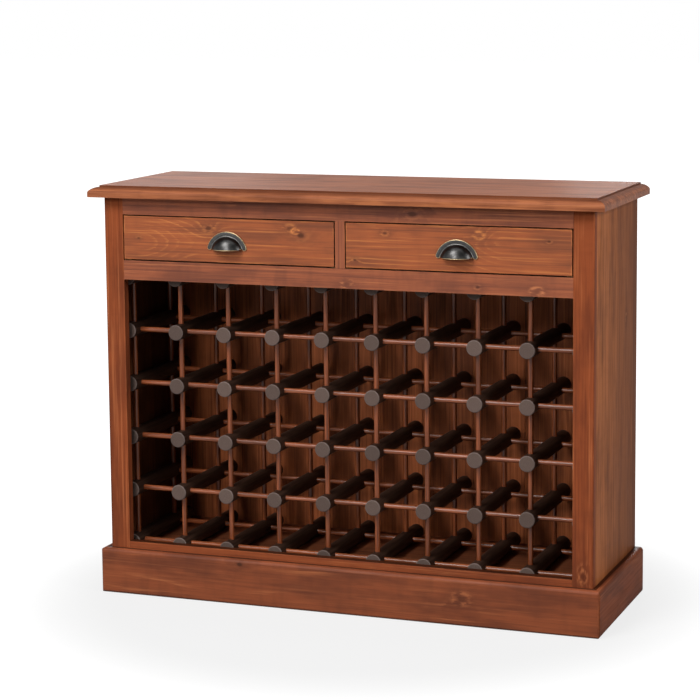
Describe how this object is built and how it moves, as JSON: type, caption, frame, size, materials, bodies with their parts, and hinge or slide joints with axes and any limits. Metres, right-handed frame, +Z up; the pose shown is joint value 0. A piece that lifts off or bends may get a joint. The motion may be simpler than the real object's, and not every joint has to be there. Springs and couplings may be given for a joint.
{
  "type": "wine cabinet",
  "caption": "Free-standing wooden wine cabinet: an open dowel rack for lying bottles under a pair of shallow drawers with cup pulls, on a plinth.",
  "frame": {"origin": "on the floor, under the middle of the cabinet's outer box", "axes": "+X to the right along the width as seen from the front, +Y from the drawers to the back, +Z up"},
  "size_m": [1.144, 0.392, 0.9],
  "materials": {
    "stained_pine": "red-brown stain under satin lacquer",
    "back_pine": "red-brown stain under satin lacquer",
    "plain_pine": "bare planed pine",
    "dark_pegs": "dark brown stain, matt",
    "stained_rods": "red-brown stain under gloss lacquer",
    "antique_metal": "dark antique finish worn to brass on the edges",
    "steel_screws": "zinc plated"
  },
  "bodies": {
    "cabinet": {"back_board_1": "back_pine", "back_board_2": "back_pine", "back_board_3": "back_pine", "back_board_4": "back_pine", "back_board_5": "back_pine", "back_board_6": "back_pine", "back_board_7": "back_pine", "back_board_8": "back_pine", "back_board_9": "back_pine", "back_cross_rods": "stained_rods", "back_rail": "plain_pine", "back_screws": "steel_screws", "back_upright_rods": "stained_rods", "bottom_rail": "stained_pine", "centre_kicker": "plain_pine", "centre_runner": "plain_pine", "drawer_divider": "stained_pine", "drawer_stops": "plain_pine", "dust_board": "plain_pine", "floor_board": "stained_pine", "front_cross_rods": "stained_rods", "front_upright_rods": "stained_rods", "left_kicker": "plain_pine", "left_runner": "plain_pine", "left_side": "stained_pine", "left_stile": "stained_pine", "middle_rail": "stained_pine", "plinth_front": "stained_pine", "plinth_left": "stained_pine", "plinth_right": "stained_pine", "rack_pegs": "dark_pegs", "right_kicker": "plain_pine", "right_runner": "plain_pine", "right_side": "stained_pine", "right_stile": "stained_pine", "top_board": "stained_pine", "top_rail": "stained_pine", "top_screws": "steel_screws"},
    "left_drawer": {"left_drawer_back": "plain_pine", "left_drawer_bottom": "plain_pine", "left_drawer_front": "stained_pine", "left_drawer_left_side": "plain_pine", "left_drawer_pull": "antique_metal", "left_drawer_pull_screws": "steel_screws", "left_drawer_right_side": "plain_pine"},
    "right_drawer": {"right_drawer_back": "plain_pine", "right_drawer_bottom": "plain_pine", "right_drawer_front": "stained_pine", "right_drawer_left_side": "plain_pine", "right_drawer_pull": "antique_metal", "right_drawer_pull_screws": "steel_screws", "right_drawer_right_side": "plain_pine"}
  },
  "joints": [
    {"name": "left_drawer_slide", "type": "slide", "parent": "cabinet", "child": "left_drawer", "axis": [0, -1, 0], "range_m": [0, 0.25]},
    {"name": "right_drawer_slide", "type": "slide", "parent": "cabinet", "child": "right_drawer", "axis": [0, -1, 0], "range_m": [0, 0.25]}
  ]
}
